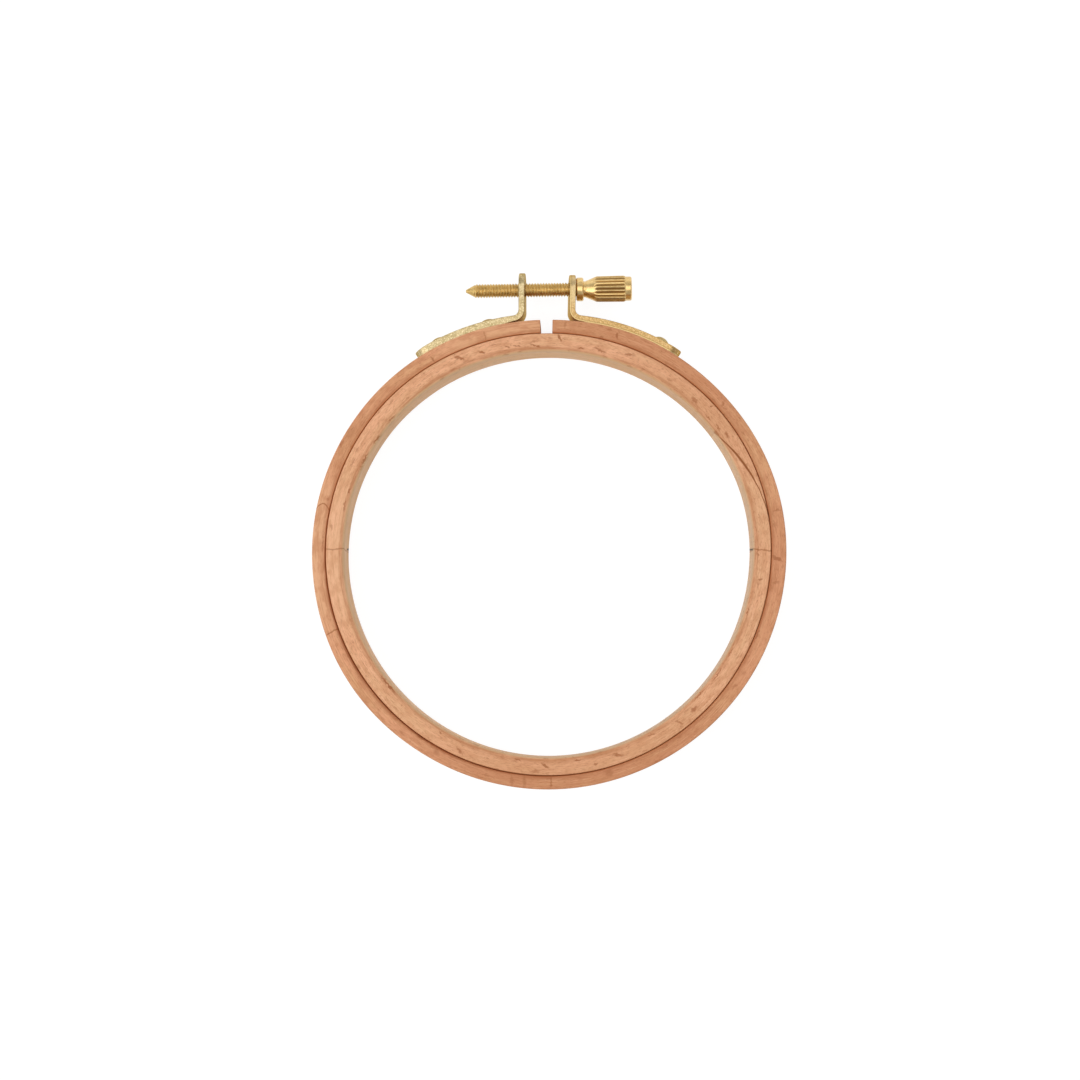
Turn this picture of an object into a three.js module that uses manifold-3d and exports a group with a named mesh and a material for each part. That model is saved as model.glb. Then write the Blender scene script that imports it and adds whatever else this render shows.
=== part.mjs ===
// Embroidery hoop: two bent beech strips, one inside the other, and a brass clamp at the outer one's split.
// Sizes are in millimetres and angles in degrees. The hoop lies flat with +Z up, its clamp towards +Y
// and the screw's knurled head towards +X. The origin is under the middle of its bounding box.
import * as THREE from "three";
import { mergeVertices } from "three/addons/utils/BufferGeometryUtils.js";
import Module from "manifold-3d";

const wasm = await Module();
wasm.setup();

// Rings
const seamRadius = 50; // where the two rings meet
const seamGap = 0.3; // room between them, which the fabric takes up
const outerWall = 2.9;
const innerWall = 3.9;
const outerDepth = 12;
const innerRise = 0.3; // how far the inner ring stands proud of the outer one
const easedEdge = 0.35; // sanded edges of both rings
const easedBore = 0.7; // the inner ring's own bore is sanded rounder
const easedSteps = 2;
const splitWidth = 2.75; // between the outer ring's two ends
const ringSegments = 120;

// Brackets, bent from brass strip
const stripThickness = 1.5;
const stripWidth = 6.2;
const stripSeat = 0.3; // from the wood to the strip
const bendRadius = 1.95; // at the middle of the strip
const earOffset = 5.6; // from the middle of the split to the middle of an ear
const leftEarReach = 11.2; // from the wood to an ear's tip
const rightEarReach = 10.75;
const tailAngle = 33.5; // from the split to a strip's end
const arcSegments = 20;

// Rivets, two in each bracket
const bendRivetAngle = 14.6; // from the split
const tailRivetAngle = 27.4;
const rivetShankRadius = 1;
const rivetHeadRadius = 1.7;
const rivetHeadHeight = 0.85;
const rivetHeadSeat = 0.3; // from the strip to the head
const rivetFootRadius = 1.7;
const rivetFootHeight = 0.45;
const rivetFootInset = 0.15; // from the ring's inner face to the foot
const rivetClearance = 0.3; // round the shank and the foot
const rivetSides = 20;
const rivetDomeSteps = 4;

// Clamp screw, turned from brass bar
const screwHeight = 7.45; // from the wood to its axis, at the right ear
const screwTilt = 0.8; // it hangs this far out of square in its loose hole
const threadRadius = 1.575;
const threadPitch = 0.635;
const threadDepth = 0.38;
const threadSides = 14;
const shankLength = 25.4; // from the collar to the end of the point
const pointLength = 2.35;
const pointRadius = 0.35;
const collarSeat = 0.3; // from the right ear to the collar
const collarRadius = 2.57;
const collarLength = 1.65;
const collarEase = 0.15; // on its bearing face
const collarRound = 0.4; // on its other face
const neckRadius = 1.82;
const neckLength = 0.5;
const flareLength = 2.35;
const barrelRadius = 2.94;
const barrelLength = 6.65;
const barrelChamfer = 0.25;
const bossRadius = 2.6;
const bossLength = 1.6;
const bossRound = 0.35;
const splineCount = 20;
const splineRadius = 0.34;
const splineDepth = 0.29;
const splineSides = 8;
const splineCapSteps = 2;

// Holes for the screw
const clearanceHole = 0.3; // round the thread, in the right ear
const tappedHole = 0.35; // round the thread, in the left ear

const outerRingBore = seamRadius + seamGap / 2;
const outerRingRadius = outerRingBore + outerWall;
const innerRingRadius = seamRadius - seamGap / 2;
const innerRingBore = innerRingRadius - innerWall;
const innerDepth = outerDepth + innerRise;
const middleHeight = outerDepth / 2;
const stripInside = outerRingRadius + stripSeat;
const stripOutside = stripInside + stripThickness;
const screwAxisY = outerRingRadius + screwHeight;

const radians = THREE.MathUtils.degToRad;

const redBeech = new THREE.MeshStandardMaterial({ color: 0xcd916c, roughness: 0.62, metalness: 0 });
const paleBeech = new THREE.MeshStandardMaterial({ color: 0xdea880, roughness: 0.6, metalness: 0 });
const tumbledBrass = new THREE.MeshStandardMaterial({ color: 0xdcc08a, roughness: 0.5, metalness: 1 });
const turnedBrass = new THREE.MeshStandardMaterial({ color: 0xbf9a58, roughness: 0.3, metalness: 1 });

// A closed geometry as a solid that can be joined and cut.
function solidOf(geometry) {
  const bare = geometry.clone();
  bare.deleteAttribute("normal");
  bare.deleteAttribute("uv");
  const merged = mergeVertices(bare, 1e-5);
  return new wasm.Manifold(new wasm.Mesh({
    numProp: 3,
    vertProperties: new Float32Array(merged.attributes.position.array),
    triVerts: new Uint32Array(merged.index.array),
  }));
}

function geometryOf(solid) {
  const mesh = solid.getMesh();
  const geometry = new THREE.BufferGeometry();
  geometry.setAttribute("position", new THREE.BufferAttribute(new Float32Array(mesh.vertProperties), 3));
  geometry.setIndex(new THREE.BufferAttribute(new Uint32Array(mesh.triVerts), 1));
  return geometry;
}

function mirroredInX(geometry) {
  const mirrored = geometry.clone().scale(-1, 1, 1);
  const index = mirrored.index;
  for (let i = 0; i < index.count; i += 3) {
    const first = index.getX(i);
    index.setX(i, index.getX(i + 1));
    index.setX(i + 1, first);
  }
  return mirrored;
}

// A profile of [radius, height] points, from the bottom up, turned round +Y.
function turned(profile, segments) {
  const points = profile.map(([radius, height]) => new THREE.Vector2(radius, height));
  return new THREE.LatheGeometry(points, segments);
}

function extruded(outline, depth) {
  return new THREE.ExtrudeGeometry(outline, { depth, bevelEnabled: false, curveSegments: arcSegments });
}

// Turns a geometry made along +Y so that it points straight out of the ring, at an angle from the split.
function radially(geometry, angle) {
  return geometry.rotateZ(-radians(angle)).translate(0, 0, middleHeight);
}

// A quarter-round corner of a profile, about its own centre and from a starting angle.
function corner(centreRadius, centreHeight, size, start) {
  const points = [];
  for (let step = 0; step <= easedSteps; step += 1) {
    const angle = radians(start + (90 * step) / easedSteps);
    points.push([centreRadius + size * Math.cos(angle), centreHeight + size * Math.sin(angle)]);
  }
  return points;
}

// A ring with eased edges, standing on Z = 0.
function ringGeometry(bore, radius, depth, boreEase) {
  const profile = [
    ...corner(radius - easedEdge, easedEdge, easedEdge, -90),
    ...corner(radius - easedEdge, depth - easedEdge, easedEdge, 0),
    ...corner(bore + boreEase, depth - boreEase, boreEase, 90),
    ...corner(bore + boreEase, boreEase, boreEase, 180),
  ];
  return turned([...profile, profile[0]], ringSegments).rotateX(Math.PI / 2);
}

// The room that one rivet takes: a hole for its shank and a pocket in the wood for its foot.
function rivetBore(angle) {
  const holeRadius = rivetShankRadius + rivetClearance;
  const pocketRadius = rivetFootRadius + rivetClearance;
  const pocketEnd = outerRingBore + rivetFootInset + rivetFootHeight + rivetClearance;
  const start = outerRingBore - rivetFootRadius;
  const end = stripOutside + rivetHeadHeight;
  const profile = [
    [0, start],
    [pocketRadius, start],
    [pocketRadius, pocketEnd],
    [holeRadius, pocketEnd],
    [holeRadius, end],
    [0, end],
  ];
  return solidOf(radially(turned(profile, rivetSides), angle));
}

function outerRingGeometry() {
  const cut = new THREE.BoxGeometry(splitWidth, outerWall * 2, outerDepth * 2);
  cut.translate(0, outerRingBore + outerWall / 2, middleHeight);
  let ring = solidOf(ringGeometry(outerRingBore, outerRingRadius, outerDepth, easedEdge));
  ring = ring.subtract(solidOf(cut));
  for (const angle of [-tailRivetAngle, -bendRivetAngle, bendRivetAngle, tailRivetAngle]) {
    ring = ring.subtract(rivetBore(angle));
  }
  return geometryOf(ring);
}

// The strip of the right bracket seen from above: a strap along the ring, a bend and a straight ear.
function stripOutline(earTip) {
  const middle = stripInside + stripThickness / 2;
  const bendX = earOffset + bendRadius;
  const bendY = Math.sqrt((middle + bendRadius) ** 2 - bendX ** 2);
  const bendAngle = Math.atan2(bendY, bendX);
  const tail = Math.PI / 2 - radians(tailAngle);
  const outline = new THREE.Shape();
  outline.moveTo(stripInside * Math.cos(tail), stripInside * Math.sin(tail));
  outline.absarc(0, 0, stripInside, tail, bendAngle, false);
  outline.absarc(bendX, bendY, bendRadius + stripThickness / 2, bendAngle + Math.PI, Math.PI, true);
  outline.lineTo(earOffset - stripThickness / 2, earTip);
  outline.lineTo(earOffset + stripThickness / 2, earTip);
  outline.absarc(bendX, bendY, bendRadius - stripThickness / 2, Math.PI, bendAngle + Math.PI, false);
  outline.absarc(0, 0, stripOutside, bendAngle, tail, true);
  outline.closePath();
  return outline;
}

// The strip as it was cut before bending: everything inside its two round ends.
function stripBlank(earTip) {
  const endRadius = stripWidth / 2;
  const ear = new THREE.Shape();
  ear.moveTo(-endRadius, 0);
  ear.lineTo(endRadius, 0);
  ear.lineTo(endRadius, earTip - endRadius);
  ear.absarc(0, earTip - endRadius, endRadius, 0, Math.PI, false);
  ear.closePath();
  const upToEarTip = extruded(ear, stripOutside).rotateY(Math.PI / 2).translate(0, 0, middleHeight);

  const endAngle = tailAngle - THREE.MathUtils.radToDeg(endRadius / stripInside);
  const far = 2 * stripOutside;
  const beforeEnd = new THREE.Shape();
  beforeEnd.moveTo(0, 0);
  beforeEnd.lineTo(far * Math.sin(radians(endAngle)), far * Math.cos(radians(endAngle)));
  beforeEnd.lineTo(0, far);
  beforeEnd.closePath();
  const strap = extruded(beforeEnd, 2 * stripWidth).translate(0, 0, middleHeight - stripWidth);
  const roundEnd = turned([[0, 0], [endRadius, 0], [endRadius, far], [0, far]], 2 * arcSegments);
  return solidOf(strap).add(solidOf(radially(roundEnd, endAngle))).intersect(solidOf(upToEarTip));
}

function bracketGeometry(earReach, holeRadius) {
  const earTip = outerRingRadius + earReach;
  const strip = extruded(stripOutline(earTip), stripWidth).translate(0, 0, middleHeight - stripWidth / 2);
  const hole = new THREE.CylinderGeometry(holeRadius, holeRadius, stripThickness * 2, 2 * arcSegments);
  hole.rotateZ(Math.PI / 2).translate(earOffset, screwAxisY, middleHeight);
  let bracket = solidOf(strip).intersect(stripBlank(earTip)).subtract(solidOf(hole));
  for (const angle of [bendRivetAngle, tailRivetAngle]) {
    bracket = bracket.subtract(rivetBore(angle));
  }
  return geometryOf(bracket);
}

// A rivet along +Y, at its real distance from the ring's middle: clinched foot, shank and domed head.
function rivetGeometry() {
  const foot = outerRingBore + rivetFootInset;
  const seat = stripOutside + rivetHeadSeat;
  const domeRadius = (rivetHeadRadius ** 2 + rivetHeadHeight ** 2) / (2 * rivetHeadHeight);
  const dome = [];
  for (let step = 0; step < rivetDomeSteps; step += 1) {
    const radius = rivetHeadRadius * Math.cos((step / rivetDomeSteps) * (Math.PI / 2));
    const height = Math.sqrt(domeRadius ** 2 - radius ** 2) - (domeRadius - rivetHeadHeight);
    dome.push([radius, seat + height]);
  }
  const profile = [
    [0, foot],
    [rivetFootRadius, foot],
    [rivetFootRadius, foot + rivetFootHeight],
    [rivetShankRadius, foot + rivetFootHeight],
    [rivetShankRadius, seat],
    ...dome,
    [0, seat + rivetHeadHeight],
  ];
  return turned(profile, rivetSides);
}

// A right-hand thread along +Y: rows of crests and roots that climb one pitch in each turn.
function threadGeometry(start, turns) {
  const rows = 2 * turns + 1;
  const positions = [];
  for (let row = 0; row < rows; row += 1) {
    const radius = row % 2 === 0 ? threadRadius : threadRadius - threadDepth;
    for (let side = 0; side < threadSides; side += 1) {
      const angle = (side / threadSides) * 2 * Math.PI;
      const height = start + (row / 2 + side / threadSides) * threadPitch;
      positions.push(radius * Math.sin(angle), height, radius * Math.cos(angle));
    }
  }
  const last = rows - 1;
  const at = (row, side) => (side < threadSides ? row * threadSides + side : (row + 2) * threadSides);
  const bottom = rows * threadSides;
  const top = bottom + 1;
  positions.push(0, start, 0, 0, start + turns * threadPitch, 0);

  const index = [];
  for (let row = 0; row < last; row += 1) {
    for (let side = 0; side < threadSides; side += 1) {
      const wraps = side === threadSides - 1;
      if (wraps && row + 3 > last) {
        continue;
      }
      index.push(at(row, side), at(row, side + 1), at(row + 1, side + 1));
      index.push(at(row, side), at(row + 1, side + 1), at(row + 1, side));
    }
  }
  // Each end closes to a point on the axis, round its last turn and down the step that the turn leaves.
  const bottomEdge = [];
  const topEdge = [];
  for (let side = 0; side < threadSides; side += 1) {
    bottomEdge.push(at(0, side));
    topEdge.push(at(last, side));
  }
  bottomEdge.push(at(2, 0), at(1, 0));
  topEdge.push(at(last - 1, threadSides - 1), at(last - 2, threadSides - 1));
  for (let i = 0; i < bottomEdge.length; i += 1) {
    const next = (i + 1) % bottomEdge.length;
    index.push(bottom, bottomEdge[next], bottomEdge[i]);
    index.push(top, topEdge[i], topEdge[next]);
  }
  const geometry = new THREE.BufferGeometry();
  geometry.setAttribute("position", new THREE.BufferAttribute(new Float32Array(positions), 3));
  geometry.setIndex(index);
  return geometry;
}

// The screw along +Y, its collar's bearing face at 0, the shank below it and the head above.
function screwGeometry() {
  const pointEnd = -shankLength;
  const slope = (threadRadius - pointRadius) / pointLength;
  const wide = threadRadius + threadDepth;
  const turns = Math.ceil(shankLength / threadPitch) + 1;
  const thread = solidOf(threadGeometry(pointEnd - threadPitch, turns));
  const envelope = solidOf(turned([
    [0, pointEnd],
    [pointRadius, pointEnd],
    [wide, pointEnd + (wide - pointRadius) / slope],
    [wide, collarLength / 2],
    [0, collarLength / 2],
  ], 2 * splineCount));
  const shank = thread.intersect(envelope);

  const neckStart = collarLength;
  const flareStart = neckStart + neckLength;
  const barrelStart = flareStart + flareLength;
  const bossStart = barrelStart + barrelLength;
  const end = bossStart + bossLength;
  const head = solidOf(turned([
    [0, 0],
    [collarRadius - collarEase, 0],
    [collarRadius, collarEase],
    ...corner(collarRadius - collarRound, neckStart - collarRound, collarRound, 0),
    [neckRadius, neckStart],
    [neckRadius, flareStart],
    [barrelRadius - barrelChamfer, barrelStart - barrelChamfer],
    [barrelRadius, barrelStart],
    [barrelRadius, bossStart - barrelChamfer],
    [barrelRadius - barrelChamfer, bossStart],
    [bossRadius, bossStart],
    ...corner(bossRadius - bossRound, end - bossRound, bossRound, 0),
    [0, end],
  ], 2 * splineCount));

  const splineLength = barrelLength - 2 * barrelChamfer - splineRadius;
  let body = shank.add(head);
  for (let spline = 0; spline < splineCount; spline += 1) {
    const groove = new THREE.CapsuleGeometry(splineRadius, splineLength, splineCapSteps, splineSides);
    groove.translate(0, barrelStart + barrelLength / 2, barrelRadius - splineDepth + splineRadius);
    groove.rotateY((spline / splineCount) * 2 * Math.PI);
    body = body.subtract(solidOf(groove));
  }
  return geometryOf(body);
}

const hoop = new THREE.Group();

function addPiece(name, geometry, material, parent = hoop) {
  const piece = new THREE.Mesh(geometry, material);
  piece.name = name;
  parent.add(piece);
  return piece;
}

addPiece("outer_ring", outerRingGeometry(), redBeech);
addPiece("inner_ring", ringGeometry(innerRingBore, innerRingRadius, innerDepth, easedBore), paleBeech);

const leftBracket = mirroredInX(bracketGeometry(leftEarReach, threadRadius + tappedHole));
addPiece("left_bracket", leftBracket, tumbledBrass);
addPiece("right_bracket", bracketGeometry(rightEarReach, threadRadius + clearanceHole), tumbledBrass);

const rivetPlaces = {
  left_tail_rivet: -tailRivetAngle,
  left_bend_rivet: -bendRivetAngle,
  right_bend_rivet: bendRivetAngle,
  right_tail_rivet: tailRivetAngle,
};
for (const [name, angle] of Object.entries(rivetPlaces)) {
  addPiece(name, radially(rivetGeometry(), angle), tumbledBrass);
}

// The screw turns about the middle of the right ear's hole, where its tilt is set.
const screwPlace = new THREE.Group();
screwPlace.position.set(earOffset, screwAxisY, middleHeight);
screwPlace.rotation.z = radians(screwTilt) - Math.PI / 2;
const screw = addPiece("clamp_screw", screwGeometry(), turnedBrass, screwPlace);
screw.position.y = stripThickness / 2 + collarSeat;
hoop.add(screwPlace);

// The ring's middle sits behind the origin, so that the box round ring and ear is centred on it.
hoop.position.y = -Math.max(leftEarReach, rightEarReach) / 2;

export default hoop;
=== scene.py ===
"""The looks of an embroidery hoop: two beech rings drawn together by a brass screw clamp."""
import math

import bmesh
import bpy
from mathutils import Matrix, Vector, noise


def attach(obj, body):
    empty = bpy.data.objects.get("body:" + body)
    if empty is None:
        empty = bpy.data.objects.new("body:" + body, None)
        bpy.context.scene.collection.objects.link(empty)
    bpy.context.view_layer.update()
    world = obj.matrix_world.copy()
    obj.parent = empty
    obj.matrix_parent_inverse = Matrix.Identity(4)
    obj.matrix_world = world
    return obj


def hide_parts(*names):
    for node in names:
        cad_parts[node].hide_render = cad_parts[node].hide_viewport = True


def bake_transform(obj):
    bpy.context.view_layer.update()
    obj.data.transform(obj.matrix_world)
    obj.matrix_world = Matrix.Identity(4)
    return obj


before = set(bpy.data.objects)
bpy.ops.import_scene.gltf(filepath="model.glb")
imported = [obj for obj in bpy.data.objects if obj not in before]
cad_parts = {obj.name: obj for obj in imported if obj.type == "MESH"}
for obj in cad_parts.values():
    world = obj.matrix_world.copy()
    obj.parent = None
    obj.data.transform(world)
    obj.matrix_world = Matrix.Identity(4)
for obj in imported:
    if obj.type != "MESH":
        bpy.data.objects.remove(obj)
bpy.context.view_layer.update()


# OUTER RING
# A strip of reddish steamed beech, bent into a hoop that stays open at the clamp. It is planed square,
# its edges are eased with sandpaper, and four counterbored holes take the rivets' clinched feet.
MM = 0.001
RING_MIDDLE = Vector((0.0, -5.6, 0.0))
OUTER_BORE = 50.0
OUTER_RADIUS = 53.05
OUTER_DEPTH = 12.0
EASED_EDGE = 0.35
SHARPEST_BORE_EDGE = 0.2
ROUNDEST_BORE_EDGE = 0.85
ROUNDEST_ANGLE = 222
ROUNDED_SPAN = 82
SPLIT_WIDTH = 2.75
SPLIT_ANGLE = 90.3
END_EASE = 0.12
RIVET_ANGLES = {
    "left_tail_rivet": 117.4,
    "left_bend_rivet": 104.6,
    "right_bend_rivet": 75.4,
    "right_tail_rivet": 61.9,
}
RIVET_POCKET = 2.0
RIVET_POCKET_DEPTH = 0.9
RIVET_SHANK = 1.0
BULGE_ANGLE = 20
BULGE_SPAN = 42
FLAT_ANGLE = 92
FLAT_SPAN = 50
OUT_OF_ROUND = 0.38
# Where the strip was left thicker: the middle and half length of each place in degrees, and how much.
THICK_PLACES = ((345, 60, 0.38), (213, 30, 0.25), (68, 24, 0.22), (112, 24, 0.08))
HOOP_STEPS = 360
DRILL_FROM = 47.0
DRILL_TO = 55.0
DRILL_SIDES = 40
SHARP_ANGLE = 32.0
# Where each flat side of a strip's section has its points, as shares of its width.
FLAT_SHARES = (0.06, 0.35, 0.65, 0.94)


def shaded(mesh, sharp=SHARP_ANGLE):
    """Smooth all over except at edges sharper than the angle."""
    mesh.polygons.foreach_set("use_smooth", [True] * len(mesh.polygons))
    mesh.set_sharp_from_angle(angle=math.radians(sharp))


def finished_mesh(name, vertices, faces, sharp=SHARP_ANGLE, place=Matrix.Identity(4)):
    """An object from points in millimetres."""
    mesh = bpy.data.meshes.new(name)
    mesh.from_pydata([(place @ Vector(v)) * MM for v in vertices], [], faces)
    mesh.validate()
    shaded(mesh, sharp)
    thing = bpy.data.objects.new(name, mesh)
    bpy.context.scene.collection.objects.link(thing)
    return thing


def eased_section(inner, outer, low, high, inner_ease, outer_ease, steps=5):
    """Points [radius, height] round a planed strip whose four edges are sanded round."""
    corners = (
        (outer - outer_ease, low + outer_ease, outer_ease, -90),
        (outer - outer_ease, high - outer_ease, outer_ease, 0),
        (inner + inner_ease, high - inner_ease, inner_ease, 90),
        (inner + inner_ease, low + inner_ease, inner_ease, 180),
    )
    rounded = []
    for radius, height, ease, start in corners:
        arc = []
        for step in range(steps + 1):
            turn = math.radians(start + 90 * step / steps)
            arc.append((radius + ease * math.cos(turn), height + ease * math.sin(turn)))
        rounded.append(arc)
    points = []
    for index, arc in enumerate(rounded):
        following = rounded[(index + 1) % 4][0]
        points.extend(arc)
        for share in FLAT_SHARES:
            points.append(tuple(a + (b - a) * share for a, b in zip(arc[-1], following)))
    return points


def hump(angle, middle, span):
    """One at the middle angle, falling smoothly to nothing a span away."""
    away = abs((angle - middle + 180) % 360 - 180)
    return (1 + math.cos(math.pi * min(1.0, away / span))) / 2


def sprung(angle):
    """How far the hand-bent hoop strays from a true circle: fuller on the right, flatter at the clamp."""
    return OUT_OF_ROUND * (hump(angle, BULGE_ANGLE, BULGE_SPAN) - hump(angle, FLAT_ANGLE, FLAT_SPAN))


def extra_thickness(angle):
    """How much thicker than usual the outer strip is there."""
    return sum(extra * hump(angle, middle, span) for middle, span, extra in THICK_PLACES)


def skin(rows, count):
    """Faces that join each closed row of points to the next one."""
    faces = []
    for row in range(rows - 1):
        for side in range(count):
            here = row * count + side
            following = row * count + (side + 1) % count
            faces.append((here, following, following + count, here + count))
    return faces


def bent_strip(name, rows):
    """A strip of wood from its sections, each (angle in degrees, points [radius, height])."""
    count = len(rows[0][1])
    vertices = []
    for angle, points in rows:
        turn = math.radians(angle)
        for radius, height in points:
            reach = radius + sprung(angle)
            vertices.append((reach * math.cos(turn), reach * math.sin(turn), height))
    faces = skin(len(rows), count)
    faces.append(tuple(reversed(range(count))))
    last = (len(rows) - 1) * count
    faces.append(tuple(range(last, last + count)))
    return finished_mesh(name, vertices, faces, place=Matrix.Translation(RING_MIDDLE))


def drawn_in(points, amount):
    """The same section a little smaller, for the broken edge at a strip's sawn end."""
    middle = [sum(values) / len(points) for values in zip(*points)]
    smaller = []
    for point in points:
        offsets = [value - centre for value, centre in zip(point, middle)]
        reach = math.hypot(*offsets)
        smaller.append(tuple(value - offset * amount / reach for value, offset in zip(point, offsets)))
    return smaller


def hand_sanded(angle, phase):
    """How much rounder or sharper than usual the sandpaper left an edge there."""
    turn = math.radians(angle)
    return 1 + 0.3 * noise.noise(Vector((4 * math.cos(turn), 4 * math.sin(turn), phase)))


def outer_section(angle):
    """The outer strip's section, its upper and lower bore edges sanded roundest at the lower left."""
    wear = hump(angle, ROUNDEST_ANGLE, ROUNDED_SPAN)
    bore_edge = SHARPEST_BORE_EDGE + (ROUNDEST_BORE_EDGE - SHARPEST_BORE_EDGE) * wear
    rim = EASED_EDGE * hand_sanded(angle, 0.0)
    outside = OUTER_RADIUS + extra_thickness(angle)
    return eased_section(OUTER_BORE, outside, 0.0, OUTER_DEPTH, bore_edge, rim)


half_split = math.degrees(math.asin(SPLIT_WIDTH / (OUTER_BORE + OUTER_RADIUS)))
first_angle = SPLIT_ANGLE + half_split
whole_turn = 360 - 2 * half_split
ease_turn = math.degrees(END_EASE / OUTER_RADIUS)
outer_rows = [(first_angle, drawn_in(outer_section(first_angle), END_EASE))]
for step in range(HOOP_STEPS + 1):
    angle = first_angle + ease_turn + (whole_turn - 2 * ease_turn) * step / HOOP_STEPS
    outer_rows.append((angle, outer_section(angle)))
outer_rows.append((first_angle + whole_turn, drawn_in(outer_section(first_angle), END_EASE)))
outer_wood = bent_strip("outer_ring_wood", outer_rows)


def lathed(name, profile, segments, place, sharp=SHARP_ANGLE):
    """A turned piece: [radius, height] points from end to end, turned round Z and then placed."""
    vertices = []
    rings = []
    for radius, height in profile:
        if radius == 0:
            rings.append([len(vertices)] * segments)
            vertices.append((0, 0, height))
        else:
            rings.append(list(range(len(vertices), len(vertices) + segments)))
            for side in range(segments):
                turn = 2 * math.pi * side / segments
                vertices.append((radius * math.cos(turn), radius * math.sin(turn), height))
    faces = []
    for lower, upper in zip(rings, rings[1:]):
        for side in range(segments):
            following = (side + 1) % segments
            corners = (lower[side], lower[following], upper[following], upper[side])
            faces.append(tuple(dict.fromkeys(corners)))
    return finished_mesh(name, vertices, faces, sharp, place)


def outwards(angle, offset):
    """Places a piece made along +Z so that it points straight out of the ring's middle height."""
    middle = Matrix.Translation(RING_MIDDLE + Vector((0, 0, OUTER_DEPTH / 2)))
    facing = Matrix.Rotation(math.radians(angle), 4, "Z") @ Matrix.Rotation(math.pi / 2, 4, "Y")
    return middle @ facing @ Matrix.Translation((0, 0, offset))


def bored(thing, cutters):
    """Takes the drills' and cutters' shapes out of a piece and puts the drills away."""
    for cutter in cutters:
        cut = thing.modifiers.new("bore", "BOOLEAN")
        cut.operation = "DIFFERENCE"
        cut.solver = "EXACT"
        cut.object = cutter
    depsgraph = bpy.context.evaluated_depsgraph_get()
    whole = bpy.data.meshes.new_from_object(thing.evaluated_get(depsgraph))
    thing.modifiers.clear()
    thing.data = whole
    shaded(whole)
    for cutter in cutters:
        bpy.data.objects.remove(cutter)


pocket_end = OUTER_BORE + RIVET_POCKET_DEPTH
counterbore = [
    (0, DRILL_FROM),
    (RIVET_POCKET, DRILL_FROM),
    (RIVET_POCKET, pocket_end),
    (RIVET_SHANK, pocket_end),
    (RIVET_SHANK, DRILL_TO),
    (0, DRILL_TO),
]
drills = []
for angle in RIVET_ANGLES.values():
    drills.append(lathed("drill", counterbore, DRILL_SIDES, outwards(angle, sprung(angle))))
bored(outer_wood, drills)


def mark_grain(wood, start, spans=None):
    """Stores where each point lay in the straight strip: along it, across it and up it, in millimetres."""
    grain = wood.data.attributes.new("grain", "FLOAT_VECTOR", "POINT")
    for index, vertex in enumerate(wood.data.vertices):
        x, y, z = vertex.co / MM - RING_MIDDLE
        round_angle = math.degrees(math.atan2(y, x))
        if spans is None:
            angle = (round_angle - start) % 360
        else:
            angle = spans[index] - start
        radius = math.hypot(x, y) - sprung(round_angle)
        grain.data[index].vector = (math.radians(angle) * OUTER_BORE, radius, z)


GRAIN_START = first_angle - 0.5
mark_grain(outer_wood, GRAIN_START)


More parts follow.
